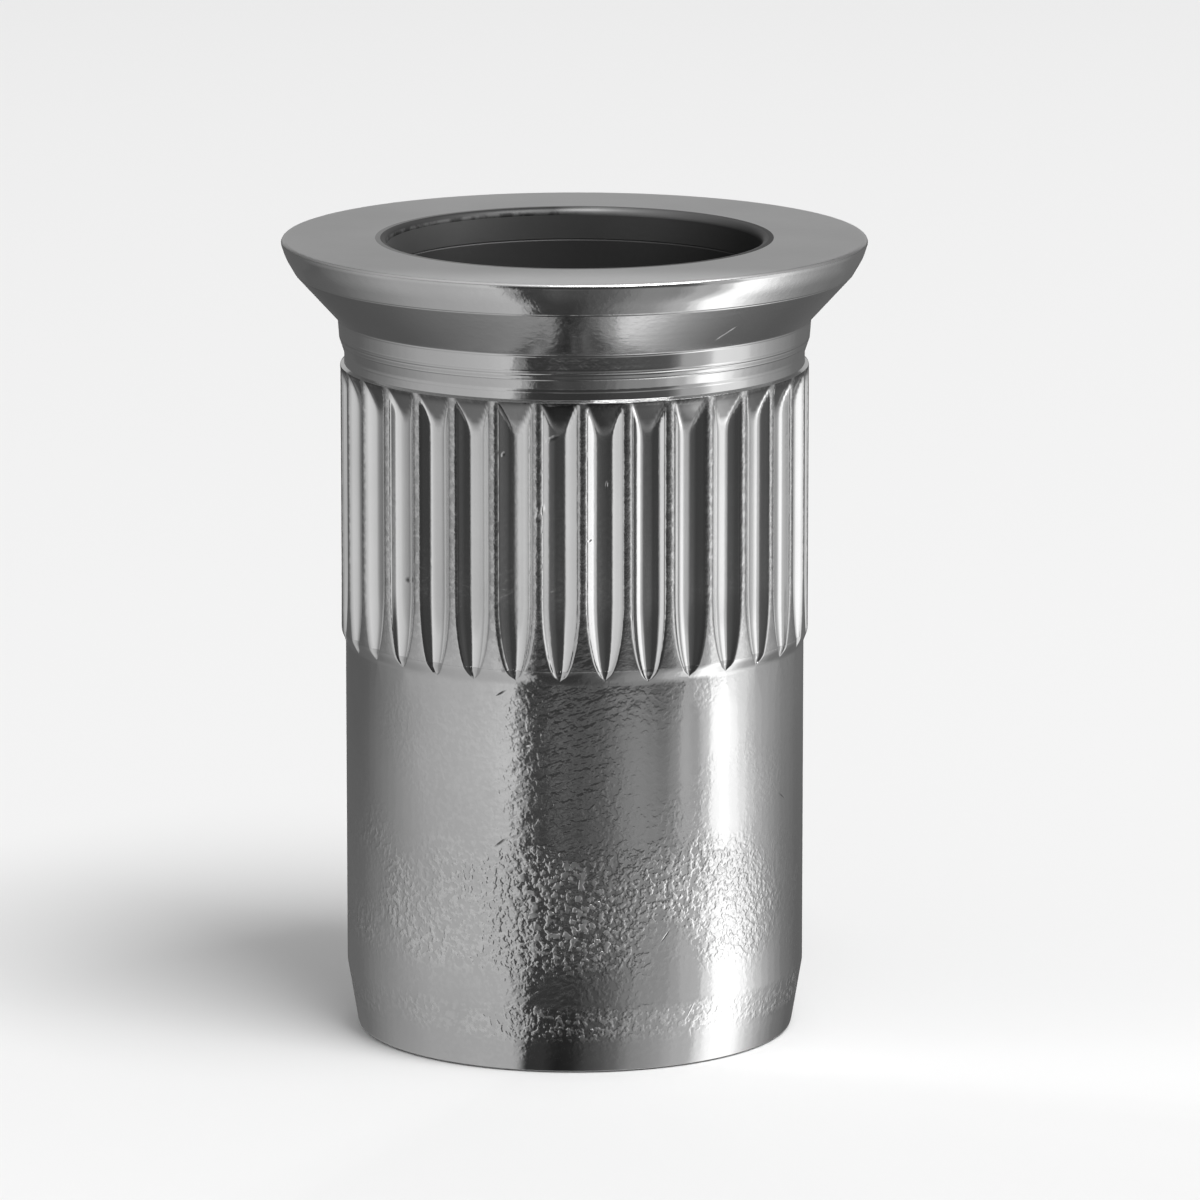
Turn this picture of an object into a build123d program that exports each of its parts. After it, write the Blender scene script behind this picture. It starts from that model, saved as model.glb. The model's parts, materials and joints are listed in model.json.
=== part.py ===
from build123d import *

import os
from math import radians, tan

# Rivet nut with a countersunk head and a splined shank, cold formed and tapped as one piece of steel.
#
# Lengths are in millimetres and angles in degrees. +Z runs up the nut's axis from the open end of the shank,
# which stands on Z = 0, to the flat face of the head. The screw goes in at the head. When the nut is set, the
# wall round the plain bore folds outwards under the sheet, and the splines keep the shank from turning.

# Overall
length = 19.2  # head face to open end
shank_d = 11.0  # plain shank, which goes through the hole in the sheet

# Head, from its flat face down
head_d = 14.05  # over the sharp edge that the rim's rounding takes off
rim_h = 0.79  # face to the foot of the rim
rim_foot_d = 13.34
rim_bulge = 0.04  # how far the rim's side stands out from a straight cone
rim_edge_r = 0.09  # rounding between the face and the rim
seat_h = 1.11  # countersunk seat under the rim

# Neck, the stepped ring between the seat and the splines
neck_d = 11.31
neck_draft = 0.035  # how much narrower, in radius, the neck is at its foot
neck_h = 0.46
neck_step_h = 0.36  # cone from the neck down to the shank

# Splines: a band of raised crests with V grooves rolled between them
spline_count = 33
spline_gap = 0.31  # plain ring between the neck and the first trace of a groove
spline_length = 6.7  # from one end of the grooves to the other
crest_h = 0.1  # crests above the shank
crest_ramp = 0.14  # length over which the band of crests rises and falls
groove_depth = 0.25  # below the crests
groove_angle = 102.0  # between a groove's two walls
groove_top_slope = 0.65  # length of the three-sided facet that ends a groove towards the head
groove_foot_runout = 2.4  # length over which a groove narrows to a point towards the open end
first_groove = 4.6  # angle from +X of the first groove, turning towards +Y

# Nose, the lead-in at the open end
nose_h = 1.6
nose_d = 10.46
nose_edge_r = 0.14

# Bore
wall = 1.02  # of the part of the shank that folds when the nut is set
mouth_r = 0.24  # rounding where the bore meets the head face
bore_depth = 9.8  # head face to the foot of the plain bore
shoulder_angle = 120.0  # of the cone between the plain bore and the thread
thread_d = 8.0  # M8 coarse
thread_pitch = 1.25
thread_exit_over = 0.15  # exit countersink beyond the thread, in radius
thread_exit_angle = 90.0

# Worked out from the sizes above
shank_r = shank_d / 2
crest_r = shank_r + crest_h
bore_r = shank_r - wall
thread_depth = 0.5413 * thread_pitch  # basic depth of an ISO internal thread
thread_minor_r = thread_d / 2 - thread_depth
rim_foot_z = length - rim_h
seat_foot_z = rim_foot_z - seat_h
neck_foot_z = seat_foot_z - neck_h
step_foot_z = neck_foot_z - neck_step_h
spline_top_z = step_foot_z - spline_gap
spline_foot_z = spline_top_z - spline_length
bore_foot_z = length - bore_depth
shoulder_foot_z = bore_foot_z - (bore_r - thread_minor_r) / tan(radians(shoulder_angle / 2))
exit_r = thread_d / 2 + thread_exit_over
exit_h = (exit_r - thread_minor_r) / tan(radians(thread_exit_angle / 2))


def half_section():
    """Half of the blank's section, on the XZ plane with X as the radius, with the crest band and no grooves."""
    head_r = head_d / 2
    rim_foot_r = rim_foot_d / 2
    neck_r = neck_d / 2
    rim_top = (head_r, length)
    rim_foot = (rim_foot_r, rim_foot_z)
    rim_middle = ((head_r + rim_foot_r) / 2 + rim_bulge, length - rim_h / 2)
    outside_below_rim = [
        rim_foot,
        (neck_r, seat_foot_z),
        (neck_r - neck_draft, neck_foot_z),
        (shank_r, step_foot_z),
        (shank_r, spline_top_z + crest_ramp),
        (crest_r, spline_top_z),
        (crest_r, spline_foot_z + crest_ramp),
        (shank_r, spline_foot_z),
        (shank_r, nose_h),
        (nose_d / 2, 0),
    ]
    inside = [
        (exit_r, 0),
        (thread_minor_r, exit_h),
        (thread_minor_r, shoulder_foot_z),
        (bore_r, bore_foot_z),
        (bore_r, length),
        rim_top,
    ]
    with BuildSketch(Plane.XZ) as section:
        with BuildLine():
            ThreePointArc(rim_top, rim_middle, rim_foot)
            Polyline(*outside_below_rim, *inside)
        make_face()
        rounded = (
            (head_r, length, rim_edge_r),
            (bore_r, length, mouth_r),
            (nose_d / 2, 0, nose_edge_r),
        )
        for r, z, rounding in rounded:
            fillet(section.vertices().sort_by_distance((r, z))[0], rounding)
    return section.sketch


def groove_cutter():
    """What one groove takes away, at angle 0: a V along the shank. A slope ends it at full width towards the head.

    Towards the open end its floor climbs out of the metal, so there the groove narrows to a point.
    """
    floor_r = crest_r - groove_depth
    lid_r = crest_r + groove_depth  # clear of the crests
    half_width = (lid_r - floor_r) * tan(radians(groove_angle / 2))
    climb = (lid_r - floor_r) / groove_depth  # how much further the cutter runs than the groove shows
    full_top_z = spline_top_z - groove_top_slope
    full_foot_z = spline_foot_z + groove_foot_runout
    lid_top_z = full_top_z + climb * groove_top_slope
    return ConvexPolyhedron(
        [
            (lid_r, half_width, lid_top_z),
            (lid_r, -half_width, lid_top_z),
            (floor_r, 0, full_top_z),
            (floor_r, 0, full_foot_z),
            (lid_r, half_width, full_foot_z),
            (lid_r, -half_width, full_foot_z),
            (lid_r, 0, full_foot_z - climb * groove_foot_runout),
        ]
    )


def rivet_nut():
    """The whole nut: the turned form with a groove cut between each pair of splines."""
    blank = revolve(half_section(), Axis.Z)
    grooves = PolarLocations(0, spline_count, start_angle=first_groove) * groove_cutter()
    nut = blank - grooves
    nut.label = "rivet_nut"
    return nut


os.makedirs("parts", exist_ok=True)
export_step(rivet_nut(), "parts/rivet_nut.step")
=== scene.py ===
"""A countersunk rivet nut with rolled splines, bright zinc-plated, on its open end on a pale floor.

The nut is one closed mesh. A modifier turns its section round the axis, presses the splines into the
shank and cuts the thread. Lengths are in metres, with MM for those that a workshop would give in
millimetres.
"""

import json
import math
from types import SimpleNamespace

import bpy
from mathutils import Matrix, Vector


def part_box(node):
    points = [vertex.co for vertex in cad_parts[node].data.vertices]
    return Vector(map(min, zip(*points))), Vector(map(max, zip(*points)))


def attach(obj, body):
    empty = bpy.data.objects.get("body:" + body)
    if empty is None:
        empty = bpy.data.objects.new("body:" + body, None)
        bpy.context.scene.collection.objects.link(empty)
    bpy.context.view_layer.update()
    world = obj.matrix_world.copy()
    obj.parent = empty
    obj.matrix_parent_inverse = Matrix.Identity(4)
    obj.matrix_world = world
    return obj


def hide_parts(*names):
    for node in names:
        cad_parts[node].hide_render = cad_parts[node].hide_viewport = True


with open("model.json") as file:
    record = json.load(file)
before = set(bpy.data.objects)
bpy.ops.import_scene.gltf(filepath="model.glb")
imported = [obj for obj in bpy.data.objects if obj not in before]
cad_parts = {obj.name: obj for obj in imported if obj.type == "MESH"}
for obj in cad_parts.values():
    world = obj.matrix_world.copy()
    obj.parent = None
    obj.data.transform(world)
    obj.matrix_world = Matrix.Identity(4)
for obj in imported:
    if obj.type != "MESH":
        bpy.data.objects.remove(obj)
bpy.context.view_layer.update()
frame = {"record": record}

MM = 0.001
MICRON = 1e-6

# Sizes from the frame
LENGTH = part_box("rivet_nut")[1].z
HEAD_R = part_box("rivet_nut")[1].x
MOUNTS = {mount["name"]: mount["dims"] for mount in frame["record"]["mounts"]}
SHANK_R = MOUNTS["shank"]["r_mm"] * MM
BORE_R = MOUNTS["plain_bore"]["r_mm"] * MM
THREAD_MINOR_R = MOUNTS["thread"]["r_mm"] * MM

# Head and neck, from the head face down
RIM_R = HEAD_R + 0.03 * MM  # over the sharp edge that the rim's rounding takes off
RIM_H = 0.79 * MM
RIM_FOOT_R = 6.67 * MM
RIM_BULGE = 0.05 * MM
SEAT_H = 1.11 * MM
NECK_R = 5.655 * MM
NECK_FOOT_R = 5.62 * MM
NECK_H = 0.46 * MM
NECK_STEP_H = 0.36 * MM

# Splines
SPLINES = 33
SPLINE_GAP = 0.31 * MM
SPLINE_LENGTH = 6.7 * MM
CREST_H = 0.1 * MM
CREST_TOP_RAMP = 0.05 * MM
CREST_FOOT_RAMP = 0.25 * MM
GROOVE_DEPTH = 0.165 * MM  # of the rolled hollow
HOLLOW_POWER = 2.3  # the hollow's walls rise with this power of the way from its floor: 2 is nearly round
GROOVE_HALF_WIDTH = 0.38 * MM  # to where it meets the rounded shoulder of the crest
SHOULDER_R = 0.2 * MM
GROOVE_TOP_SLOPE = 0.85 * MM
TOP_POWER = 1.8  # the end of a groove under the neck is hollow too: 1 is flat
TOP_END_ROUNDING = 0.03 * MM
TOP_END_BLEND = 0.04 * MM  # where the end fills the groove by this much, the finish takes it for the end
GROOVE_FOOT_RUNOUT = 1.9 * MM
FIRST_GROOVE = math.radians(4.6)
END_SCATTER = 0.07 * MM  # how unevenly the grooves end

# Nose, bore and thread
NOSE_H = 1.6 * MM
NOSE_R = 5.23 * MM
BORE_DEPTH = 9.8 * MM
SHOULDER_H = 0.668 * MM
MOUTH_ROUNDING = 0.15 * MM
EXIT_R = 4.15 * MM
EXIT_H = 0.826 * MM
THREAD_R = 4.0 * MM
THREAD_PITCH = 1.25 * MM

# Levels of the section, up the axis
RIM_FOOT_Z = LENGTH - RIM_H
SEAT_FOOT_Z = RIM_FOOT_Z - SEAT_H
NECK_FOOT_Z = SEAT_FOOT_Z - NECK_H
STEP_FOOT_Z = NECK_FOOT_Z - NECK_STEP_H
SPLINE_TOP_Z = STEP_FOOT_Z - SPLINE_GAP
SPLINE_FOOT_Z = SPLINE_TOP_Z - SPLINE_LENGTH
BORE_FOOT_Z = LENGTH - BORE_DEPTH
CREST_R = SHANK_R + CREST_H

# How the mesh is divided
ARC_STEPS = 4
GUARD = 0.03 * MM  # from a rounded corner to the next row, which keeps the shading of flat runs clean
COLUMNS_PER_SPLINE = 24
COLUMNS_PER_PLAIN_SPLINE = 4  # and past the splines, where the nut is plain and round
BLEND_BELOW_SPLINES = 1.5 * MM
GROOVE_SHARE = 11 / 24  # part of a pitch, each side of the groove's floor, whose columns stay in the groove
WIDEST_SHARE = 0.96  # part of half a pitch that those columns may take
SMALLEST_GROOVE = 0.03  # part of its full size, where it runs out
OUTSIDE_SHARE = 0.95  # part of the shank's radius, past which a point is on the outside
MERGE_DISTANCE = 1e-7


def add(tree, kind, feeds=None, **settings):
    """Adds a node to a tree, sets its properties, and feeds its sockets.

    Each socket, named or numbered, is fed a value, another socket, or another node's first output.
    """
    made = tree.nodes.new(kind)
    for name, value in settings.items():
        setattr(made, name, value)
    for place, value in (feeds or {}).items():
        if isinstance(value, bpy.types.Node):
            value = value.outputs[0]
        if isinstance(value, bpy.types.NodeSocket):
            tree.links.new(value, made.inputs[place])
        else:
            made.inputs[place].default_value = value
    return made


def colour(code):
    """An sRGB hex colour as the linear colour that a shader takes."""
    parts = [int(code[i : i + 2], 16) / 255 for i in (1, 3, 5)]
    return (*[p / 12.92 if p <= 0.04045 else ((p + 0.055) / 1.055) ** 2.4 for p in parts], 1.0)


# The section --------------------------------------------------------------------------------------


def rounded_corner(corner, before, after, radius):
    """Points of the arc that rounds a corner of the section, from the side of before to that of after."""
    to_before, to_after = (before - corner).normalized(), (after - corner).normalized()
    half = to_before.angle(to_after) / 2
    reach = radius / math.tan(half)
    middle = corner + (to_before + to_after).normalized() * (radius / math.sin(half))
    start = (corner + to_before * reach - middle).normalized()
    end = (corner + to_after * reach - middle).normalized()
    return [middle + start.slerp(end, i / ARC_STEPS) * radius for i in range(ARC_STEPS + 1)]


def section():
    """The half section as a closed run of points, down the outside, across the foot and up the bore.

    Each corner is its radius, its height, its rounding, and the rows between it and the next.
    """
    corners = [
        (RIM_R, LENGTH, 0.09 * MM, 2),
        ((RIM_R + RIM_FOOT_R) / 2 + RIM_BULGE, LENGTH - RIM_H / 2, 1.2 * MM, 2),
        (RIM_FOOT_R, RIM_FOOT_Z, 0.05 * MM, 3),
        (NECK_R, SEAT_FOOT_Z, 0.04 * MM, 2),
        (NECK_FOOT_R, NECK_FOOT_Z, 0.05 * MM, 2),
        (SHANK_R, STEP_FOOT_Z, 0.06 * MM, 2),
        (SHANK_R, SPLINE_TOP_Z + CREST_TOP_RAMP, 0.02 * MM, 1),
        (CREST_R, SPLINE_TOP_Z, 0.03 * MM, 50),
        (CREST_R, SPLINE_FOOT_Z + CREST_FOOT_RAMP, 0.3 * MM, 1),
        (SHANK_R, SPLINE_FOOT_Z, 0.3 * MM, 10),
        (SHANK_R, NOSE_H, 0.6 * MM, 2),
        (NOSE_R, 0, 0.14 * MM, 2),
        (EXIT_R, 0, 0.04 * MM, 10),
        (THREAD_MINOR_R, EXIT_H, 0.05 * MM, 88),
        (THREAD_MINOR_R, BORE_FOOT_Z - SHOULDER_H, 0.05 * MM, 9),
        (BORE_R, BORE_FOOT_Z, 0.08 * MM, 4),
        (BORE_R, LENGTH, MOUTH_ROUNDING, 2),
    ]
    count = len(corners)
    places = [Vector((r, z)) for r, z, _, _ in corners]
    arcs = [
        rounded_corner(places[i], places[i - 1], places[(i + 1) % count], corners[i][2])
        for i in range(count)
    ]
    points = []
    for i, (_, _, _, rows) in enumerate(corners):
        start, end = arcs[i][-1], arcs[(i + 1) % count][0]
        run = end - start
        guard = run.normalized() * min(GUARD, run.length / 4)
        first, last = start + guard, end - guard
        points += arcs[i] + [first.lerp(last, k / rows) for k in range(rows + 1)]
    return points


def section_object():
    """The section as a closed wire on the XZ plane."""
    points = section()
    edges = [(i, (i + 1) % len(points)) for i in range(len(points))]
    wire = bpy.data.meshes.new("section")
    wire.from_pydata([(p.x, 0, p.y) for p in points], edges, [])
    made = bpy.data.objects.new("section", wire)
    bpy.context.collection.objects.link(made)
    return made


# The nut ------------------------------------------------------------------------------------------

SIZES = {
    "Splines": SPLINES,
    "Columns per Spline": COLUMNS_PER_SPLINE,
    "Columns per Plain Spline": COLUMNS_PER_PLAIN_SPLINE,
    "First Groove": FIRST_GROOVE,
    "Shank Radius": SHANK_R,
    "Crest Radius": CREST_R,
    "Groove Depth": GROOVE_DEPTH,
    "Groove Half Width": GROOVE_HALF_WIDTH,
    "Hollow Power": HOLLOW_POWER,
    "Shoulder Radius": SHOULDER_R,
    "Spline Gap": SPLINE_GAP,
    "Spline Top": SPLINE_TOP_Z,
    "Spline Foot": SPLINE_FOOT_Z,
    "Top Slope": GROOVE_TOP_SLOPE,
    "Top Power": TOP_POWER,
    "Foot Run-out": GROOVE_FOOT_RUNOUT,
    "End Scatter": END_SCATTER,
    "Blend Below Splines": BLEND_BELOW_SPLINES,
    "Thread Pitch": THREAD_PITCH,
    "Thread Radius": THREAD_R,
    "Thread Minor Radius": THREAD_MINOR_R,
}


def swept_section(tree, size):
    """The section swept round the axis, and each point's column, radius and height."""
    wire = add(tree, "GeometryNodeMeshToCurve", {"Mesh": size["Section"]})
    on_section = add(tree, "GeometryNodeCaptureAttribute")
    on_section.capture_items.new("VECTOR", "Point")
    tree.links.new(wire.outputs[0], on_section.inputs["Geometry"])
    tree.links.new(add(tree, "GeometryNodeInputPosition").outputs[0], on_section.inputs["Point"])
    columns = add(tree, "ShaderNodeMath", {0: size["Splines"], 1: size["Columns per Spline"]},
                  operation="MULTIPLY")
    ring = add(tree, "GeometryNodeCurvePrimitiveCircle",
               {"Resolution": columns, "Radius": size["Shank Radius"]})
    on_ring = add(tree, "GeometryNodeCaptureAttribute")
    on_ring.capture_items.new("FLOAT", "Column")
    tree.links.new(ring.outputs[0], on_ring.inputs["Geometry"])
    tree.links.new(add(tree, "GeometryNodeInputIndex").outputs[0], on_ring.inputs["Column"])
    grid = add(tree, "GeometryNodeCurveToMesh",
               {"Curve": on_ring.outputs["Geometry"], "Profile Curve": on_section.outputs["Geometry"]})
    point = add(tree, "ShaderNodeSeparateXYZ", {0: on_section.outputs["Point"]}).outputs
    return grid, on_ring.outputs["Column"], point["X"], point["Z"]


def groove_ends(tree, size, groove, height):
    """Where a groove's top is, and how much of its full size the groove has at a height.

    Each groove has its own top and foot. Towards the open end it closes like the end of a boat.
    """
    number = add(tree, "ShaderNodeMath", {0: groove, 1: size["Splines"]}, operation="MODULO")
    downwards = add(tree, "ShaderNodeMath", {0: size["End Scatter"], 1: -1}, operation="MULTIPLY")
    top_scatter = add(tree, "FunctionNodeRandomValue",
                      {2: downwards, 3: 0, "ID": number, "Seed": 3}, data_type="FLOAT")
    foot_scatter = add(tree, "FunctionNodeRandomValue",
                       {2: 0, 3: size["End Scatter"], "ID": number, "Seed": 8}, data_type="FLOAT")
    top = add(tree, "ShaderNodeMath", {0: size["Spline Top"], 1: top_scatter.outputs[1]},
              operation="ADD")
    # The feet end twice as unevenly as the tops.
    foot = add(tree, "ShaderNodeMath", {0: foot_scatter.outputs[1], 1: 2, 2: size["Spline Foot"]},
               operation="MULTIPLY_ADD")
    full_from = add(tree, "ShaderNodeMath", {0: foot, 1: size["Foot Run-out"]}, operation="ADD")
    run = add(tree, "ShaderNodeMapRange", {"Value": height, "From Min": foot, "From Max": full_from})
    rest = add(tree, "ShaderNodeMath", {0: 2, 1: run}, operation="SUBTRACT")
    run = add(tree, "ShaderNodeMath", {0: rest, 1: run}, operation="MULTIPLY")
    run = add(tree, "ShaderNodeMath", {0: run}, operation="SQRT")
    return top, run


def groove_shape(tree, size):
    """A hollow with a rounded shoulder at each side: where the shoulder ends, and the whole drop."""
    half_width, shoulder = size["Groove Half Width"], size["Shoulder Radius"]
    edge_slope = add(tree, "ShaderNodeMath", {0: size["Groove Depth"], 1: half_width}, operation="DIVIDE")
    edge_slope = add(tree, "ShaderNodeMath", {0: edge_slope, 1: size["Hollow Power"]}, operation="MULTIPLY")
    edge_tilt = add(tree, "ShaderNodeMath", {0: edge_slope}, operation="ARCTANGENT")
    sine = add(tree, "ShaderNodeMath", {0: edge_tilt}, operation="SINE")
    shoulder_end = add(tree, "ShaderNodeMath", {0: sine, 1: shoulder, 2: half_width},
                       operation="MULTIPLY_ADD")
    cosine = add(tree, "ShaderNodeMath", {0: edge_tilt}, operation="COSINE")
    shoulder_drop = add(tree, "ShaderNodeMath", {0: 1, 1: cosine}, operation="SUBTRACT")
    shoulder_drop = add(tree, "ShaderNodeMath", {0: shoulder_drop, 1: shoulder}, operation="MULTIPLY")
    whole_drop = add(tree, "ShaderNodeMath", {0: shoulder_drop, 1: size["Groove Depth"]}, operation="ADD")
    return shoulder_end, whole_drop


def groove_drop(tree, size, aside, shoulder_end, whole_drop):
    """How far a groove's metal lies below the crest, at a distance aside from the groove's floor."""
    half_width, shoulder = size["Groove Half Width"], size["Shoulder Radius"]
    wall_rise = add(tree, "ShaderNodeMath", {0: aside, 1: half_width}, operation="DIVIDE")
    wall_rise = add(tree, "ShaderNodeMath", {0: wall_rise, 1: size["Hollow Power"]}, operation="POWER")
    wall_rise = add(tree, "ShaderNodeMath", {0: wall_rise, 1: size["Groove Depth"]}, operation="MULTIPLY")
    hollow_drop = add(tree, "ShaderNodeMath", {0: whole_drop, 1: wall_rise}, operation="SUBTRACT")
    to_shoulder_end = add(tree, "ShaderNodeMath", {0: shoulder_end, 1: aside}, operation="SUBTRACT")
    to_shoulder_end = add(tree, "ShaderNodeMath", {0: to_shoulder_end, 1: 0}, operation="MAXIMUM")
    reach_squared = add(tree, "ShaderNodeMath", {0: to_shoulder_end, 1: 2}, operation="POWER")
    radius_squared = add(tree, "ShaderNodeMath", {0: shoulder, 1: 2}, operation="POWER")
    crest_rise = add(tree, "ShaderNodeMath", {0: radius_squared, 1: reach_squared}, operation="SUBTRACT")
    crest_rise = add(tree, "ShaderNodeMath", {0: crest_rise}, operation="SQRT")
    crest_drop = add(tree, "ShaderNodeMath", {0: shoulder, 1: crest_rise}, operation="SUBTRACT")
    within = add(tree, "ShaderNodeMath", {0: aside, 1: half_width}, operation="LESS_THAN")
    return add(tree, "ShaderNodeMapRange", {"Value": within, "To Min": crest_drop, "To Max": hollow_drop})


def thread_radius(tree, size, height, angle):
    """A right-handed thread with 60 degree flanks.

    An eighth of its pitch is flat at the root, and a quarter at the crest.
    """
    pitches_up = add(tree, "ShaderNodeMath", {0: height, 1: size["Thread Pitch"]}, operation="DIVIDE")
    turns = add(tree, "ShaderNodeMath", {0: angle, 1: math.tau}, operation="DIVIDE")
    along = add(tree, "ShaderNodeMath", {0: pitches_up, 1: turns}, operation="SUBTRACT")
    from_root = add(tree, "ShaderNodeMath", {0: along, 1: 1 / 2}, operation="PINGPONG")
    return add(tree, "ShaderNodeMapRange",
               {"Value": from_root, "From Min": 1 / 16, "From Max": 3 / 8,
                "To Min": size["Thread Radius"], "To Max": size["Thread Minor Radius"]})


def nut_tree():
    """The tree that turns the section, presses the splines and cuts the thread."""
    tree = bpy.data.node_groups.new("rivet nut from its section", "GeometryNodeTree")
    tree.interface.new_socket("Section", in_out="INPUT", socket_type="NodeSocketGeometry")
    for name, value in SIZES.items():
        kind = "NodeSocketInt" if isinstance(value, int) else "NodeSocketFloat"
        tree.interface.new_socket(name, in_out="INPUT", socket_type=kind)
    tree.interface.new_socket("Finish", in_out="INPUT", socket_type="NodeSocketMaterial")
    tree.interface.new_socket("Nut", in_out="OUTPUT", socket_type="NodeSocketGeometry")
    size = add(tree, "NodeGroupInput").outputs
    grid, column, radius, height = swept_section(tree, size)

    # The part outside that holds the splines and the stretch below them
    outside_r = add(tree, "ShaderNodeMath", {0: size["Shank Radius"], 1: OUTSIDE_SHARE},
                    operation="MULTIPLY")
    outside = add(tree, "ShaderNodeMath", {0: radius, 1: outside_r}, operation="GREATER_THAN")
    blend_foot = add(tree, "ShaderNodeMath", {0: size["Spline Foot"], 1: size["Blend Below Splines"]},
                     operation="SUBTRACT")
    over_foot = add(tree, "ShaderNodeMath", {0: height, 1: blend_foot}, operation="GREATER_THAN")
    band_top = add(tree, "ShaderNodeMath", {0: size["Spline Top"], 1: size["Spline Gap"]}, operation="ADD")
    under_top = add(tree, "ShaderNodeMath", {0: height, 1: band_top}, operation="LESS_THAN")
    in_band = add(tree, "ShaderNodeMath", {0: over_foot, 1: under_top}, operation="MULTIPLY")
    in_band = add(tree, "ShaderNodeMath", {0: in_band, 1: outside}, operation="MULTIPLY")

    # Past that part the columns close up in groups, which the last merge makes one.
    fine_turn = add(tree, "ShaderNodeMath", {0: column, 1: size["Columns per Spline"]}, operation="DIVIDE")
    group = add(tree, "ShaderNodeMath", {0: 1, 1: size["Columns per Plain Spline"]}, operation="DIVIDE")
    plain_turn = add(tree, "ShaderNodeMath", {0: fine_turn, 1: group}, operation="SNAP")
    turn = add(tree, "ShaderNodeMapRange", {"Value": in_band, "To Min": plain_turn, "To Max": fine_turn})

    # Which groove a column belongs to, and how far across that groove's pitch it is, from 0 at the
    # floor to 0.5
    groove = add(tree, "ShaderNodeMath", {0: turn}, operation="ROUND")
    across = add(tree, "ShaderNodeMath", {0: turn, 1: groove}, operation="SUBTRACT")
    side = add(tree, "ShaderNodeMath", {0: across}, operation="SIGN")
    share = add(tree, "ShaderNodeMath", {0: across}, operation="ABSOLUTE")
    pitch = add(tree, "ShaderNodeMath", {0: math.tau, 1: size["Splines"]}, operation="DIVIDE")
    half_pitch = add(tree, "ShaderNodeMath", {0: pitch, 1: 2}, operation="DIVIDE")

    top, run = groove_ends(tree, size, groove, height)
    scale = add(tree, "ShaderNodeMath", {0: run, 1: SMALLEST_GROOVE}, operation="MAXIMUM")
    shoulder_end, whole_drop = groove_shape(tree, size)

    # Most columns stay between the groove's floor and the end of its shoulder, and are even again
    # below the splines.
    even_angle = add(tree, "ShaderNodeMath", {0: pitch, 1: GROOVE_SHARE}, operation="MULTIPLY")
    edge_angle = add(tree, "ShaderNodeMath", {0: shoulder_end, 1: size["Crest Radius"]}, operation="DIVIDE")
    edge_angle = add(tree, "ShaderNodeMath", {0: edge_angle, 1: scale}, operation="MULTIPLY")
    widest = add(tree, "ShaderNodeMath", {0: half_pitch, 1: WIDEST_SHARE}, operation="MULTIPLY")
    edge_angle = add(tree, "ShaderNodeMath", {0: edge_angle, 1: widest}, operation="MINIMUM")
    edge_angle = add(tree, "ShaderNodeMapRange",
                     {"Value": height, "From Min": size["Spline Foot"], "From Max": blend_foot,
                      "To Min": edge_angle, "To Max": even_angle})
    crest_angle = add(tree, "ShaderNodeMath", {0: half_pitch, 1: edge_angle}, operation="SUBTRACT")
    in_groove = add(tree, "ShaderNodeMapRange",
                    {"Value": share, "From Max": GROOVE_SHARE, "To Max": edge_angle})
    on_crest = add(tree, "ShaderNodeMapRange",
                   {"Value": share, "From Min": GROOVE_SHARE, "From Max": 0.5, "To Max": crest_angle})
    away = add(tree, "ShaderNodeMath", {0: in_groove, 1: on_crest}, operation="ADD")
    floor_angle = add(tree, "ShaderNodeMath", {0: groove, 1: pitch, 2: size["First Groove"]},
                      operation="MULTIPLY_ADD")
    angle = add(tree, "ShaderNodeMath", {0: side, 1: away, 2: floor_angle}, operation="MULTIPLY_ADD")

    # The groove keeps its shape as it shrinks.
    aside = add(tree, "ShaderNodeMath", {0: away, 1: size["Crest Radius"]}, operation="MULTIPLY")
    aside = add(tree, "ShaderNodeMath", {0: aside, 1: scale}, operation="DIVIDE")
    drop = groove_drop(tree, size, aside, shoulder_end, whole_drop)
    drop = add(tree, "ShaderNodeMath", {0: drop, 1: run}, operation="MULTIPLY")

    # A hollow facet ends it at the top.
    full_top = add(tree, "ShaderNodeMath", {0: top, 1: size["Top Slope"]}, operation="SUBTRACT")
    top_rise = add(tree, "ShaderNodeMapRange", {"Value": height, "From Min": full_top, "From Max": top})
    top_rise = add(tree, "ShaderNodeMath", {0: top_rise, 1: size["Top Power"]}, operation="POWER")
    facet_drop = add(tree, "ShaderNodeMapRange", {"Value": top_rise, "To Min": whole_drop, "To Max": 0})
    cut_off = add(tree, "ShaderNodeMath", {0: drop, 1: facet_drop}, operation="SUBTRACT")
    top_end = add(tree, "ShaderNodeMapRange", {"Value": cut_off, "From Max": TOP_END_BLEND})
    drop = add(tree, "ShaderNodeMath", {0: drop, 1: facet_drop, 2: TOP_END_ROUNDING},
               operation="SMOOTH_MIN")
    drop = add(tree, "ShaderNodeMath", {0: drop, 1: 0}, operation="MAXIMUM")
    drop = add(tree, "ShaderNodeMath", {0: drop, 1: outside}, operation="MULTIPLY")
    splined_r = add(tree, "ShaderNodeMath", {0: radius, 1: drop}, operation="SUBTRACT")

    # How near to its crest each point of a spline is, for the finish
    crest = add(tree, "ShaderNodeMapRange",
                {"Value": drop, "From Max": whole_drop, "To Min": 1, "To Max": 0})
    over_spline_foot = add(tree, "ShaderNodeMath", {0: height, 1: size["Spline Foot"]},
                           operation="GREATER_THAN")
    crest = add(tree, "ShaderNodeMath", {0: crest, 1: over_spline_foot}, operation="MULTIPLY")
    crest = add(tree, "ShaderNodeMath", {0: crest, 1: in_band}, operation="MULTIPLY")

    # The thread is in the metal of the bore, where that is narrower than the thread.
    thread_r = thread_radius(tree, size, height, angle)
    formed_r = add(tree, "ShaderNodeMath", {0: splined_r, 1: thread_r}, operation="MAXIMUM")

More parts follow.
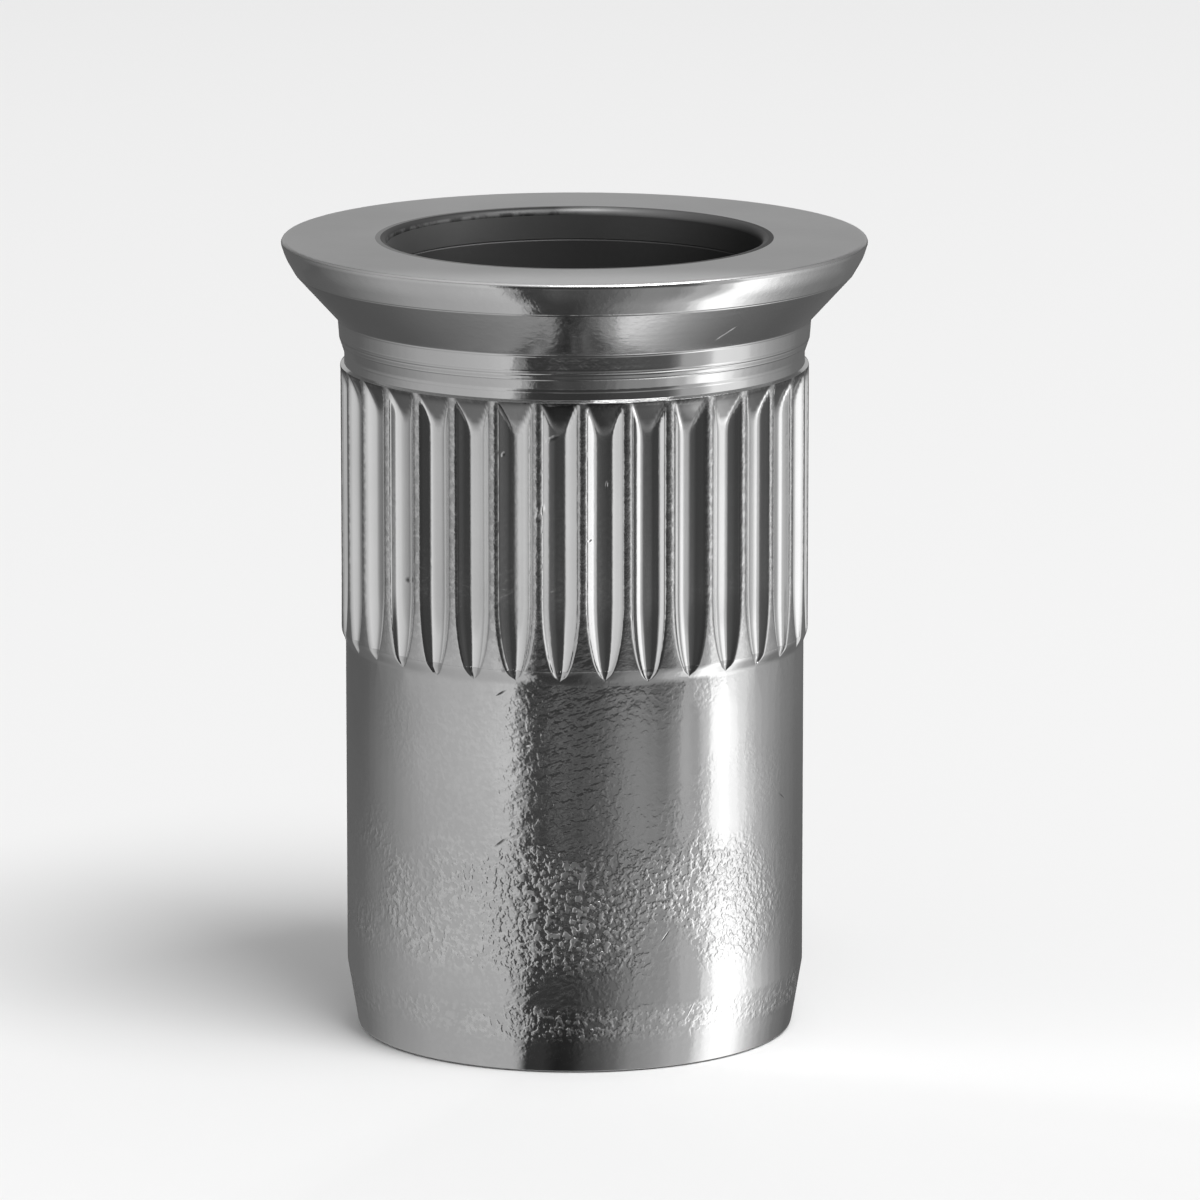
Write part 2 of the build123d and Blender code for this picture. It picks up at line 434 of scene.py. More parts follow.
    cosine = add(tree, "ShaderNodeMath", {0: angle}, operation="COSINE")
    sine = add(tree, "ShaderNodeMath", {0: angle}, operation="SINE")
    x = add(tree, "ShaderNodeMath", {0: formed_r, 1: cosine}, operation="MULTIPLY")
    y = add(tree, "ShaderNodeMath", {0: formed_r, 1: sine}, operation="MULTIPLY")
    place = add(tree, "ShaderNodeCombineXYZ", {"X": x, "Y": y, "Z": height})
    nut = add(tree, "GeometryNodeSetPosition", {"Geometry": grid, "Position": place})
    # The groove top marks the grooves' upper ends under the neck, where the finish paints shade.
    for name, value in (("crest", crest), ("groove top", top_end)):
        nut = add(tree, "GeometryNodeStoreNamedAttribute", {"Geometry": nut, "Name": name, "Value": value},
                  data_type="FLOAT", domain="POINT")
    nut = add(tree, "GeometryNodeMergeByDistance", {"Geometry": nut, "Distance": MERGE_DISTANCE})
    nut = add(tree, "GeometryNodeSetShadeSmooth", {"Geometry": nut})
    nut = add(tree, "GeometryNodeRealizeInstances", {"Geometry": nut})
    nut = add(tree, "GeometryNodeSetMaterial", {"Geometry": nut, "Material": size["Finish"]})
    add(tree, "NodeGroupOutput", {"Nut": nut})
    return tree


def rivet_nut(finish):
    """The nut as a plain mesh."""
    wire = section_object()
    forming = wire.modifiers.new("forming", "NODES")
    forming.node_group = nut_tree()
    values = {**SIZES, "Finish": finish}
    for item in forming.node_group.interface.items_tree:
        if item.in_out == "INPUT" and item.name in values:
            forming[item.identifier] = values[item.name]
    seen = bpy.context.evaluated_depsgraph_get()
    mesh = bpy.data.meshes.new_from_object(wire.evaluated_get(seen))
    wire.modifiers.clear()
    bpy.data.objects.remove(wire)
    made = bpy.data.objects.new("rivet_nut_turned", mesh)
    bpy.context.collection.objects.link(made)
    return made


# Finish -------------------------------------------------------------------------------------------

# How far apart the blobs of each pattern lie. A blob is about half as wide.
PIT_SPACING = 0.30303 * MM
FINE_PIT_SPACING = 0.13333 * MM
PIT_PATCH_SPACING = 2.222 * MM
STROKE_SPACING = 0.22727 * MM
BURR_SPACING = 0.1923 * MM
CLOUD_SPACING = 3.846 * MM
TURNING_SPACING = 0.07143 * MM  # the tool's feed from one turning line to the next

# How high each pattern stands
PIT_HEIGHT = 30 * MICRON
FINE_PIT_HEIGHT = 13 * MICRON
STROKE_HEIGHT = 20 * MICRON
BURR_HEIGHT = 16 * MICRON
TURNING_HEIGHT = 0.5 * MICRON

# Where the shank is pitted: the height in mm, and how strongly
PITTED_REACH = 20
PITTED = (
    (0, 0.15), (0.7, 0.2), (0.95, 1.0), (1.45, 0.9), (1.7, 0.15), (2.3, 0.25), (2.8, 0.9), (5.0, 0.9),
    (5.7, 0.2), (9.2, 0.13), (9.7, 0.04), (16.2, 0.04), (PITTED_REACH, 0.05),
)
WORST_BEARING = math.radians(-9)  # from the front, to the right: where the wear is worst

# Lines that the tool left round the rim and neck: height in mm, width in mm and rise in microns
TURNED_LINES = (
    (18.42, 0.06, -7), (17.28, 0.06, 8), (16.93, 0.07, 5), (16.84, 0.07, -14), (16.72, 0.06, 8),
    (16.42, 0.07, 5),
)

# Nicks and scratches: bearing in degrees from the front, to the right, height, slant in degrees,
# length and width, and how high the metal stands there, below 0 for a dent. Lengths are in mm, and
# the last one in microns.
MARKS = (
    (-5.5, 15.3, 25, 0.38, 0.15, -9), (-8.8, 13.55, 62, 0.62, 0.24, 14),
    (-47, 11.6, 10, 0.30, 0.20, -14), (-17.7, 14.9, 80, 0.16, 0.10, -9),
    (-18.3, 9.2, 32, 0.34, 0.06, -16), (-11, 7.97, 4, 0.22, 0.05, 9),
    (-18.5, 5.6, 38, 0.50, 0.08, -12), (-2, 4.75, 12, 0.60, 0.07, 10),
    (-1, 2.75, 10, 0.45, 0.07, 10), (22.9, 3.3, 52, 0.45, 0.05, -9),
    (30, 1.4, 64, 0.55, 0.05, 9), (36, 17.7, 42, 0.60, 0.06, 12),
    (-3, 6.9, 20, 0.30, 0.06, 8), (8, 14.2, 85, 0.22, 0.08, -12),
    (3.5, 12.9, 15, 0.16, 0.08, 9), (64, 6.1, -30, 0.50, 0.06, -9),
    (118, 4.2, 20, 0.60, 0.07, -12), (155, 7.1, -48, 0.45, 0.06, 9),
    (-120, 3.9, 60, 0.55, 0.06, -10), (-150, 8.2, -15, 0.40, 0.07, 10),
    (-85, 2.2, 35, 0.40, 0.06, -10),
)
DARKEST_DENT = 14  # microns: a dent this deep is as dark as dents get
# A mark that stands up gets a painted highlight.
BRIGHTEST_BURR = -0.4  # a mark that stands up is bright, by at most this share of the darkest dent


def parts_of_nut(tree):
    """A point's place on the nut, and how much it belongs to each part of the nut, from 0 to 1."""
    at = add(tree, "ShaderNodeTexCoord").outputs["Object"]
    axes = add(tree, "ShaderNodeSeparateXYZ", {0: at}).outputs
    level = add(tree, "ShaderNodeVectorMath", {0: at, 1: (1, 1, 0)}, operation="MULTIPLY")
    radius = add(tree, "ShaderNodeVectorMath", {0: level}, operation="LENGTH").outputs["Value"]
    height = axes["Z"]
    forwards = add(tree, "ShaderNodeMath", {0: axes["Y"], 1: -1}, operation="MULTIPLY")
    bearing = add(tree, "ShaderNodeMath", {0: axes["X"], 1: forwards}, operation="ARCTAN2")
    round_shank = add(tree, "ShaderNodeMath", {0: bearing, 1: SHANK_R}, operation="MULTIPLY")
    unrolled = add(tree, "ShaderNodeCombineXYZ", {"X": round_shank, "Y": height})

    # The bore with the edge of its mouth, the face, the seat, and the band of splines
    in_bore = add(tree, "ShaderNodeMath", {0: radius, 1: 4.75 * MM}, operation="LESS_THAN")
    on_face = add(tree, "ShaderNodeMath", {0: height, 1: LENGTH - 0.04 * MM}, operation="GREATER_THAN")
    on_seat = add(tree, "ShaderNodeMapRange",
                  {"Value": height, "From Min": SEAT_FOOT_Z, "From Max": SEAT_FOOT_Z + 0.05 * MM})
    under_rim = add(tree, "ShaderNodeMath", {0: height, 1: RIM_FOOT_Z}, operation="LESS_THAN")
    on_seat = add(tree, "ShaderNodeMath", {0: on_seat, 1: under_rim}, operation="MULTIPLY")
    over_band = add(tree, "ShaderNodeMath", {0: height, 1: SPLINE_TOP_Z}, operation="GREATER_THAN")
    under_band = add(tree, "ShaderNodeMath", {0: height, 1: SPLINE_FOOT_Z + 0.3 * MM},
                     operation="LESS_THAN")
    plain = add(tree, "ShaderNodeMath", {0: over_band, 1: under_band}, operation="ADD")
    plain = add(tree, "ShaderNodeMath", {0: plain, 1: in_bore}, operation="MAXIMUM")
    banded = add(tree, "ShaderNodeMath", {0: 1, 1: plain}, operation="SUBTRACT")

    # The parts of a spline, from its crown to the groove's floor, and the grooves' top ends
    crest = add(tree, "ShaderNodeAttribute", attribute_name="crest").outputs["Fac"]
    on_crown = add(tree, "ShaderNodeMapRange", {"Value": crest, "From Min": 0.8, "From Max": 0.97},
                   interpolation_type="SMOOTHSTEP")
    narrow = add(tree, "ShaderNodeMapRange",
                 {"Value": height, "From Min": SPLINE_FOOT_Z + 0.5 * MM,
                  "From Max": SPLINE_FOOT_Z + 2 * MM, "To Min": 0.25})
    on_crown = add(tree, "ShaderNodeMath", {0: on_crown, 1: banded}, operation="MULTIPLY")
    on_crown = add(tree, "ShaderNodeMath", {0: on_crown, 1: narrow}, operation="MULTIPLY")
    off_crown = add(tree, "ShaderNodeMapRange",
                    {"Value": crest, "From Min": 0.98, "From Max": 0.8, "To Max": banded})
    on_wall = add(tree, "ShaderNodeMapRange",
                  {"Value": crest, "From Min": 0.9, "From Max": 0.65, "To Max": banded})
    in_floor = add(tree, "ShaderNodeMapRange",
                   {"Value": crest, "From Min": 0.04, "From Max": 0.17, "To Min": 1, "To Max": 0},
                   interpolation_type="SMOOTHSTEP")
    in_floor = add(tree, "ShaderNodeMath", {0: in_floor, 1: banded}, operation="MULTIPLY")
    # The grooves' top ends under the neck, which get painted shade
    groove_top = add(tree, "ShaderNodeAttribute", attribute_name="groove top").outputs["Fac"]
    groove_top = add(tree, "ShaderNodeMath", {0: groove_top, 1: banded}, operation="MULTIPLY")

    # Where the wear is worst: 1 there, and 0.2 well away from it
    from_worst = add(tree, "ShaderNodeMath", {0: bearing, 1: WORST_BEARING}, operation="SUBTRACT")
    from_worst = add(tree, "ShaderNodeMath", {0: from_worst}, operation="ABSOLUTE")
    worn = add(tree, "ShaderNodeMapRange",
               {"Value": from_worst, "From Min": 0.19, "From Max": 0.55, "To Min": 1, "To Max": 0.2})
    return SimpleNamespace(
        at=at, x=axes["X"], y=axes["Y"], height=height, radius=radius, unrolled=unrolled,
        in_bore=in_bore, on_face=on_face, on_seat=on_seat, over_band=over_band, on_crown=on_crown,
        off_crown=off_crown, on_wall=on_wall, in_floor=in_floor, groove_top=groove_top, worn=worn,
    )


def pitting(tree, nut, pits):
    """Coarse and fine pits, crowded in rings round the shank and in patches."""
    ring = add(tree, "ShaderNodeMapRange", {"Value": nut.height, "From Max": PITTED_REACH * MM})
    ring = add(tree, "ShaderNodeValToRGB", {"Fac": ring})
    stops = ring.color_ramp.elements
    for up, _ in PITTED[1:-1]:
        stops.new(up / PITTED_REACH)
    for stop, (_, strength) in zip(stops, PITTED):
        stop.color = (*[strength] * 3, 1)
    patches = add(tree, "ShaderNodeTexNoise",
                  {"Vector": nut.at, "Scale": 1 / PIT_PATCH_SPACING, "Detail": 1}).outputs["Fac"]
    between = add(tree, "ShaderNodeMath", {0: nut.worn, 1: 0.75}, operation="MULTIPLY")
    patches = add(tree, "ShaderNodeMapRange",
                  {"Value": patches, "From Min": 0.43, "From Max": 0.68, "To Min": between})
    deep = add(tree, "ShaderNodeMapRange",
               {"Value": nut.worn, "From Min": 0.2, "From Max": 1, "To Min": 0.95, "To Max": 1.4})
    pitted = add(tree, "ShaderNodeMath", {0: ring, 1: patches}, operation="MULTIPLY")
    pitted = add(tree, "ShaderNodeMath", {0: pitted, 1: deep}, operation="MULTIPLY")
    coarse = add(tree, "ShaderNodeMath", {0: pits, 1: pitted}, operation="MULTIPLY")
    fine = add(tree, "ShaderNodeTexNoise",
               {"Vector": nut.at, "Scale": 1 / FINE_PIT_SPACING, "Detail": 1.5}).outputs["Fac"]
    fine = add(tree, "ShaderNodeMapRange", {"Value": fine, "From Min": 0.42, "From Max": 0.66},
               interpolation_type="SMOOTHSTEP")
    fine = add(tree, "ShaderNodeMath", {0: fine, 1: pitted}, operation="MULTIPLY")
    return coarse, fine


def rubbed_strokes(tree, nut):
    """Strokes three times as long as they are high, rising to the right, where the shank is worn."""
    along = add(tree, "ShaderNodeMapping",
                {"Vector": nut.unrolled, "Rotation": (0, 0, math.radians(20)), "Scale": (2.8, 1, 1)},
                vector_type="TEXTURE")
    strokes = add(tree, "ShaderNodeTexNoise",
                  {"Vector": along, "Scale": 1 / STROKE_SPACING, "Detail": 2.5}).outputs["Fac"]
    weaker = add(tree, "ShaderNodeMapRange", {"Value": nut.off_crown, "To Min": 1, "To Max": 0.12})
    strokes = add(tree, "ShaderNodeMath", {0: strokes, 1: weaker}, operation="MULTIPLY")
    most_worn = add(tree, "ShaderNodeMath", {0: nut.worn, 1: 3}, operation="POWER")
    strokes = add(tree, "ShaderNodeMath", {0: strokes, 1: most_worn}, operation="MULTIPLY")
    under_neck = add(tree, "ShaderNodeMath", {0: 1, 1: nut.over_band}, operation="SUBTRACT")
    return add(tree, "ShaderNodeMath", {0: strokes, 1: under_neck}, operation="MULTIPLY")


def turning(tree, nut):
    """The fine lines of the tool's feed round the head and neck, and then the few deep ones.

    Each is a pattern and its height.
    """
    drawn_out = add(tree, "ShaderNodeVectorMath", {0: nut.at, 1: (0.01, 0.01, 1)}, operation="MULTIPLY")
    feed = add(tree, "ShaderNodeTexNoise",
               {"Vector": drawn_out, "Scale": 1 / TURNING_SPACING, "Detail": 2}).outputs["Fac"]
    feed = add(tree, "ShaderNodeMath", {0: feed, 1: nut.over_band}, operation="MULTIPLY")
    lines = [(feed, TURNING_HEIGHT)]
    for up, width, rise in TURNED_LINES:
        line = add(tree, "ShaderNodeMath", {0: nut.height, 1: up * MM}, operation="SUBTRACT")
        line = add(tree, "ShaderNodeMath", {0: line}, operation="ABSOLUTE")
        line = add(tree, "ShaderNodeMapRange", {"Value": line, "From Min": width / 2 * MM, "From Max": 0},
                   interpolation_type="SMOOTHSTEP")
        lines.append((line, rise * MICRON))
    return lines


def nicks(tree, nut):
    """Nicks and scratches on the unrolled shank, each with its height, and how much darker a dent and how
    much brighter, as a painted highlight, a raised mark is made.
    """
    dent_dark_burr_highlight = 0
    made = []
    for degrees, up, slant, length, width, rise in MARKS:
        place = (math.radians(degrees) * SHANK_R, up * MM, 0)
        mark = add(tree, "ShaderNodeMapping",
                   {"Vector": nut.unrolled, "Location": place, "Rotation": (0, 0, math.radians(slant)),
                    "Scale": (length / 2 * MM, width / 2 * MM, 1)}, vector_type="TEXTURE")
        mark = add(tree, "ShaderNodeVectorMath", {0: mark}, operation="LENGTH").outputs["Value"]
        mark = add(tree, "ShaderNodeMapRange", {"Value": mark, "From Min": 1, "From Max": 0},
                   interpolation_type="SMOOTHSTEP")
        made.append((mark, rise * MICRON))
        darkness = min(1, max(BRIGHTEST_BURR, -rise / DARKEST_DENT))
        dent_dark_burr_highlight = add(tree, "ShaderNodeMath", {0: mark, 1: darkness, 2: dent_dark_burr_highlight}, operation="MULTIPLY_ADD")
    return made, dent_dark_burr_highlight


def painted_shade_of_bore(tree, nut):
    """Painted shade in the bore, darker towards the right."""
    return add(tree, "ShaderNodeMapRange",
               {"Value": nut.x, "From Min": -4.5 * MM, "From Max": 4.5 * MM,
                "To Min": 0.62, "To Max": 0.14})


def mouth(tree, nut, pits):
    """The mouth's rounded edge and its tone: darker and mottled on the left, and a painted highlight on the
    right.
    """
    edge = add(tree, "ShaderNodeMath", {0: nut.radius, 1: BORE_R + 0.07 * MM, 2: 0.08 * MM},
               operation="COMPARE")
    on_top = add(tree, "ShaderNodeMath", {0: nut.height, 1: LENGTH - 0.18 * MM},
                 operation="GREATER_THAN")
    edge = add(tree, "ShaderNodeMath", {0: edge, 1: on_top}, operation="MULTIPLY")
    mottle_light_level = add(tree, "ShaderNodeMapRange",
                {"Value": nut.height, "From Min": LENGTH - 0.11 * MM, "From Max": LENGTH - 0.07 * MM,
                 "To Min": 0.7, "To Max": 0.3})
    mottled_left = add(tree, "ShaderNodeMapRange",
                  {"Value": pits, "From Min": 0.40, "From Max": 0.56, "To Min": 0.3, "To Max": mottle_light_level})
    # The right of the edge is a painted highlight, half again as bright as the plating; the left is darker
    # and mottled.
    tone = add(tree, "ShaderNodeMapRange",
               {"Value": nut.x, "From Min": -0.5 * MM, "From Max": 0.5 * MM,
                "To Min": mottled_left, "To Max": 1.5})
    return edge, tone


def zinc_plated_steel():
    """Bright zinc electroplated on turned and rolled steel.

    To the eye it is a clear, slightly soft and nearly neutral mirror without a grain of its own, so
    the turning, the rolled grooves and the wear show through it. The face is dulled by rubbing, the
    crowns of the splines are rough with burrs, and the bore is dull. Light and shade are also painted
    into its colour: painted shade in the bore and in the grooves' top ends, brighter groove walls, a
    painted sheen towards the front of the face, a painted highlight on the right of the mouth's edge
    and on marks that stand up, and painted glints on the fine pits.
    """
    made = bpy.data.materials.new("bright zinc plating")
    made.use_nodes = True
    tree = made.node_tree
    tree.nodes.clear()
    nut = parts_of_nut(tree)

    # Relief
    pits = add(tree, "ShaderNodeTexNoise",
               {"Vector": nut.at, "Scale": 1 / PIT_SPACING, "Detail": 2.5, "Roughness": 0.6}).outputs["Fac"]
    coarse_pits, fine_pits = pitting(tree, nut, pits)
    burrs = add(tree, "ShaderNodeTexNoise",
                {"Vector": nut.at, "Scale": 1 / BURR_SPACING, "Detail": 3, "Roughness": 0.7}).outputs["Fac"]
    burred = add(tree, "ShaderNodeMath", {0: burrs, 1: nut.on_crown}, operation="MULTIPLY")
    marks, dent_dark_burr_highlight = nicks(tree, nut)
    relief = 0
    for pattern, high in (
        (coarse_pits, PIT_HEIGHT),
        (fine_pits, FINE_PIT_HEIGHT),
        (rubbed_strokes(tree, nut), STROKE_HEIGHT),
        *turning(tree, nut),
        (burred, BURR_HEIGHT),
        *marks,
    ):
        relief = add(tree, "ShaderNodeMath", {0: pattern, 1: high, 2: relief}, operation="MULTIPLY_ADD")
    bump = add(tree, "ShaderNodeBump", {"Height": relief, "Distance": 1.0, "Strength": 1.0})

    # Tone: faint clouds, times a tone for each part; several of these tones are painted light or shade, as
    # marked below
    clouds = add(tree, "ShaderNodeTexNoise",
                 {"Vector": nut.at, "Scale": 1 / CLOUD_SPACING, "Detail": 4}).outputs["Fac"]
    tone = add(tree, "ShaderNodeMapRange",
               {"Value": clouds, "From Min": 0.3, "From Max": 0.7, "To Min": 0.9, "To Max": 1.04})
    specks = add(tree, "ShaderNodeMapRange",
                 {"Value": burrs, "From Min": 0.6, "From Max": 0.45, "To Min": 1, "To Max": 0.7})
    # Painted sheen: the face is made brighter towards the front.
    painted_front_sheen = add(tree, "ShaderNodeMapRange",
                 {"Value": nut.y, "From Min": -4.4 * MM, "From Max": -6.6 * MM, "To Max": nut.on_face},
                 interpolation_type="SMOOTHSTEP")
    mouth_edge, mouth_tone_and_highlight = mouth(tree, nut, pits)
    for part, level in (
        # painted light: the groove walls are made brighter than the plating
        (nut.on_wall, 1.36),
        (nut.in_floor, 0.85),
        # painted shade: the grooves' top ends under the neck are made much darker
        (nut.groove_top, 0.28),
        (nut.on_crown, specks),
        # painted sheen on the face, towards the front
        (painted_front_sheen, 1.65),
        (nut.on_seat, 0.68),
        # painted shade: the bore is darkened, most towards the right
        (nut.in_bore, painted_shade_of_bore(tree, nut)),
        # painted highlight on the right of the mouth's edge, and darker and mottled on its left
        (mouth_edge, mouth_tone_and_highlight),
        # painted glints: the fine pits are made brighter
        (fine_pits, 1.25),
    ):
        part_tone = add(tree, "ShaderNodeMapRange", {"Value": part, "To Min": 1, "To Max": level})
        tone = add(tree, "ShaderNodeMath", {0: tone, 1: part_tone}, operation="MULTIPLY")
    # Dents are made darker, and marks that stand up get a painted highlight.
    mark_tone = add(tree, "ShaderNodeMapRange",
                    {"Value": dent_dark_burr_highlight, "From Min": -0.5, "From Max": 1, "To Min": 1.4, "To Max": 0.2})
    tone = add(tree, "ShaderNodeMath", {0: tone, 1: mark_tone}, operation="MULTIPLY")
    plating = add(tree, "ShaderNodeVectorMath", {0: colour("#CFCFCF")[:3], "Scale": tone},
                  operation="SCALE")

    # Roughness: the bare plating's, and then each part's own
    rough = 0.11
    for part, level in (
        (nut.in_floor, 0.18),
        (nut.on_crown, 0.25),
        (fine_pits, 0.42),
        (nut.on_face, 0.3),
        (nut.on_seat, 0.14),
        (nut.in_bore, 0.5),
    ):
        rough = add(tree, "ShaderNodeMapRange", {"Value": part, "To Min": rough, "To Max": level})
    surface = add(tree, "ShaderNodeBsdfPrincipled",
                  {"Base Color": plating, "Metallic": 1, "Roughness": rough, "Normal": bump})
    add(tree, "ShaderNodeOutputMaterial", {"Surface": surface})
    return made


# Studio -------------------------------------------------------------------------------------------

# The camera, in front of the nut and a little above it
LENS = 265.9
CAMERA_BACK = 208.7 * MM
CAMERA_UP = 52.7 * MM
CAMERA_DIP = math.radians(11.465)
CAMERA_TURN = math.radians(-0.167)

# How bright the cards are: the bearing in degrees from the camera, to the right, and the level. The
# near levels hold at the nut's foot, the far levels from NEAR_REACH on, and the splines' levels from
# SPLINES_FROM on, which is the part that the splines look at.
NEAR_LEVELS = (
    (-180, 0.12), (-140, 0.20), (-110, 0.40), (-80, 0.53), (-34, 0.62), (-31, 0.58), (-26, 0.05),
    (-17, 0.05), (-10, 0.02), (-2, 0.03), (5, 0.08), (12, 0.12), (20, 0.19), (27, 0.33), (36, 0.40),
    (43, 0.46), (51, 0.60), (60, 0.66), (69, 1.40), (76, 1.80), (89, 1.65), (99, 0.95), (111, 0.50),
    (125, 0.25), (145, 0.14), (180, 0.12),
)
FAR_LEVELS = (
    (-180, 0.12), (-132, 0.14), (-110, 0.27), (-85, 0.54), (-45, 0.70), (-33, 0.88), (-29, 0.30),
    (-24, 0.08), (-17, 0.10), (-10, 0.25), (-3, 0.15), (12, 0.17), (20, 0.28), (28, 0.36), (37, 0.27),
    (44, 0.19), (48, 0.25), (52, 0.62), (57, 0.52), (61, 0.42), (66, 0.60), (70, 1.50), (76, 1.90),
    (83, 1.60), (89, 1.15), (99, 0.66), (111, 0.50), (125, 0.34), (145, 0.22), (180, 0.12),
)
SPLINE_LEVELS = (
    (-180, 0.12), (-132, 0.16), (-110, 0.30), (-85, 0.56), (-45, 0.70), (-33, 0.80), (-29, 0.28),
    (-25, 0.05), (5, 0.05), (20, 0.08), (38, 0.10), (48, 0.13), (52, 0.50), (66, 0.60), (70, 1.20),
    (90, 1.10), (96, 0.75), (110, 0.48), (140, 0.22), (180, 0.12),
)
LEVEL_PEAK = 2.0
NEAR_REACH = 45 * MM
SPLINES_FROM = 46 * MM
SPLINES_BLEND = 3 * MM

# The ring of cards
CARD_STEPS = 120
CARDS_INNER = 5.2 * MM
CARDS_HEIGHT = 0.05 * MM
CARDS_REACH = 220 * MM
CARDS_TOP = 150 * MM

# The card behind the nut
BACK_CARD_Y = 200 * MM
BACK_CARD_HALF_WIDTH = 80 * MM
BACK_CARD_FOOT = 20 * MM
BACK_CARD_TOP = 79 * MM
BACK_CARD_LEVEL = 0.51


def camera():
    """A long lens in front, a little above the nut."""
    lens = bpy.data.cameras.new("camera")
    lens.sensor_width = 36
    lens.lens = LENS
    lens.clip_start = 0.01
    lens.clip_end = 10
    made = bpy.data.objects.new("camera", lens)
    made.location = (0, -CAMERA_BACK, CAMERA_UP)
    made.rotation_euler = (math.pi / 2 - CAMERA_DIP, 0, CAMERA_TURN)
    bpy.context.collection.objects.link(made)
    bpy.context.scene.camera = made


def softbox(name, bearing, rise, distance, side, level):
    """A square lamp that looks at the nut, placed by its bearing from the camera and its rise.

    A level of 1 is as bright as white paper.
    """
    light = bpy.data.lights.new(name, "AREA")
    light.size = side
    light.energy = level * math.pi * side**2
    made = bpy.data.objects.new(name, light)
    bearing, rise = math.radians(bearing), math.radians(rise)
    made.location = (distance * math.cos(rise) * math.sin(bearing),
                     -distance * math.cos(rise) * math.cos(bearing), distance * math.sin(rise))
    towards_nut = Vector((0, 0, LENGTH / 2)) - made.location
    made.rotation_euler = towards_nut.to_track_quat("-Z", "Y").to_euler()
    bpy.context.collection.objects.link(made)


def matt_material(name, code, level=0.0):
    """Matt painted card: its colour, and how much it glows."""
    made = bpy.data.materials.new(name)
    made.use_nodes = True
    tree = made.node_tree
    tree.nodes.clear()
    surface = add(tree, "ShaderNodeBsdfPrincipled",
                  {"Base Color": colour(code), "Roughness": 0.9, "Emission Strength": level})
    add(tree, "ShaderNodeOutputMaterial", {"Surface": surface})
    return made


def level_ramp(tree, share, levels):
    """A ramp of levels over the bearings, as shares of LEVEL_PEAK."""
    ramp = add(tree, "ShaderNodeValToRGB", {"Fac": share})
    stops = ramp.color_ramp.elements
    for degrees, _ in levels[1:-1]:
        stops.new(degrees / 360 + 0.5)
    for stop, (_, level) in zip(stops, levels):
        stop.color = (*[level / LEVEL_PEAK] * 3, 1)
    return ramp


def card_material():
    """Glows by the bearing in which the nut's side looks, and by the distance from it."""
    made = bpy.data.materials.new("grey cards")
    made.use_nodes = True
    tree = made.node_tree
    tree.nodes.clear()
    place = add(tree, "ShaderNodeSeparateXYZ", {0: add(tree, "ShaderNodeUVMap", uv_map="bearing")}).outputs
    share_of_peak = add(tree, "ShaderNodeMapRange",
                        {"Value": place["Y"], "From Max": NEAR_REACH,
                         "To Min": level_ramp(tree, place["X"], NEAR_LEVELS),
                         "To Max": level_ramp(tree, place["X"], FAR_LEVELS)})
    share_of_peak = add(tree, "ShaderNodeMapRange",
                        {"Value": place["Y"], "From Min": SPLINES_FROM,
                         "From Max": SPLINES_FROM + SPLINES_BLEND, "To Min": share_of_peak,
                         "To Max": level_ramp(tree, place["X"], SPLINE_LEVELS)})
    level = add(tree, "ShaderNodeMath", {0: share_of_peak, 1: LEVEL_PEAK}, operation="MULTIPLY")
    glow = add(tree, "ShaderNodeEmission", {"Strength": level})
    add(tree, "ShaderNodeOutputMaterial", {"Surface": glow})
    return made


def staged(name, mesh):
    """Puts up a piece of the studio."""
    made = bpy.data.objects.new(name, mesh)
    bpy.context.collection.objects.link(made)
    return made


def only_for_metal(card):
    """Makes a card show in the metal alone."""
    card.visible_camera = False
    card.visible_diffuse = False
    card.visible_shadow = False


def flat_card(name, corners, material):
    """The mesh of a flat card through its corners."""
    mesh = bpy.data.meshes.new(name)
    mesh.from_pydata(corners, [], [range(len(corners))])
    mesh.materials.append(material)
    return mesh


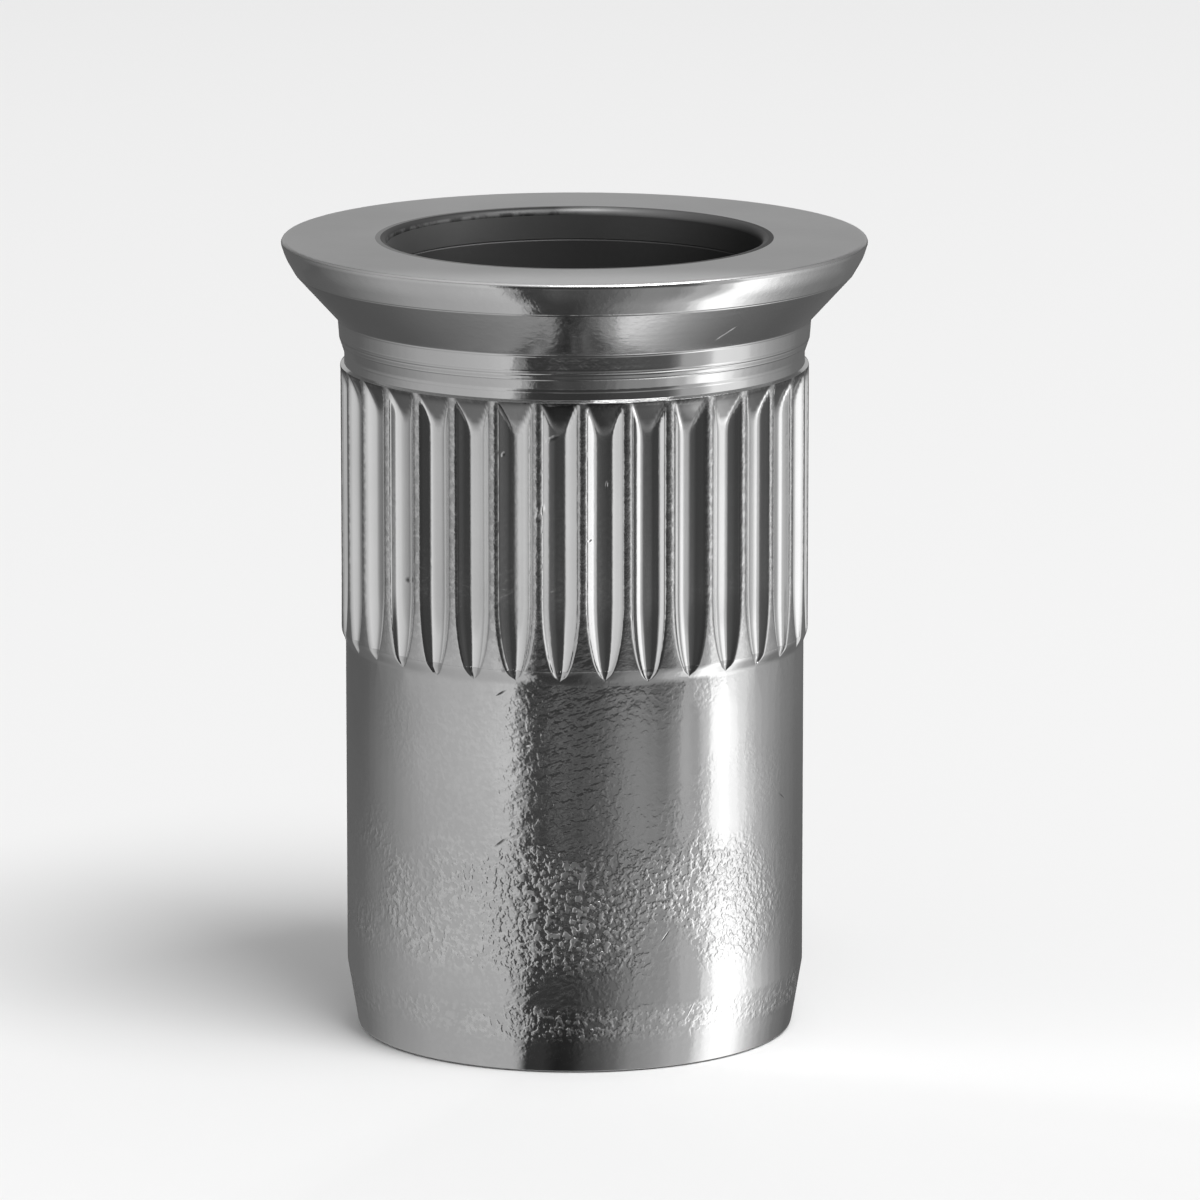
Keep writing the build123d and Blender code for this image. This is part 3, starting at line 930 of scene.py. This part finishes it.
def ring_of_cards():
    """The mesh of the grey cards that lie round the nut and stand up at their outer edge.

    Each runs straight out from the nut's side in the bearing in which that part of the side looks,
    which turns twice as far as the side does.
    """
    rows = []
    for step in range(CARD_STEPS + 1):
        side = math.tau * (step / CARD_STEPS - 0.5)
        bearing = min(max(2 * side, -math.pi), math.pi)
        start = Vector((math.sin(side), -math.cos(side), 0)) * CARDS_INNER
        end = start + Vector((math.sin(bearing), -math.cos(bearing), 0)) * CARDS_REACH
        share = bearing / math.tau + 0.5
        rows.append([(start, CARDS_HEIGHT, share, 0), (end, CARDS_HEIGHT, share, CARDS_REACH),
                     (end, CARDS_TOP, share, CARDS_REACH)])
    corners = [(place.x, place.y, height) for row in rows for place, height, _, _ in row]
    faces = [(3 * k + i, 3 * k + i + 1, 3 * k + i + 4, 3 * k + i + 3)
             for k in range(CARD_STEPS) for i in (0, 1)]
    mesh = bpy.data.meshes.new("ring of cards")
    mesh.from_pydata(corners, [], faces)
    marks = [(share, distance) for row in rows for _, _, share, distance in row]
    layer = mesh.uv_layers.new(name="bearing")
    for corner in mesh.loops:
        layer.data[corner.index].uv = marks[corner.vertex_index]
    mesh.materials.append(card_material())
    return mesh


def studio():
    """Floor, world, cards and lamp."""
    reach = 3.0
    floor = [(-reach, -reach, 0), (reach, -reach, 0), (reach, reach, 0), (-reach, reach, 0)]
    staged("floor", flat_card("floor", floor, matt_material("floor", "#EDEDED")))
    world = bpy.data.worlds.new("room")
    world.use_nodes = True
    world.node_tree.nodes["Background"].inputs["Color"].default_value = colour("#B3B3B3")
    bpy.context.scene.world = world
    only_for_metal(staged("ring_of_cards", ring_of_cards()))
    left, right = -BACK_CARD_HALF_WIDTH, BACK_CARD_HALF_WIDTH
    back = [(left, BACK_CARD_Y, BACK_CARD_FOOT), (right, BACK_CARD_Y, BACK_CARD_FOOT),
            (right, BACK_CARD_Y, BACK_CARD_TOP), (left, BACK_CARD_Y, BACK_CARD_TOP)]
    back_material = matt_material("back card", "#000000", BACK_CARD_LEVEL)
    only_for_metal(staged("back_card", flat_card("back card", back, back_material)))
    softbox("key_softbox", bearing=40, rise=62, distance=1500 * MM, side=800 * MM, level=9.0)


bpy.context.scene.view_settings.view_transform = "Standard"
nut = rivet_nut(zinc_plated_steel())
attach(nut, "root")
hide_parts("rivet_nut")
studio()
camera()
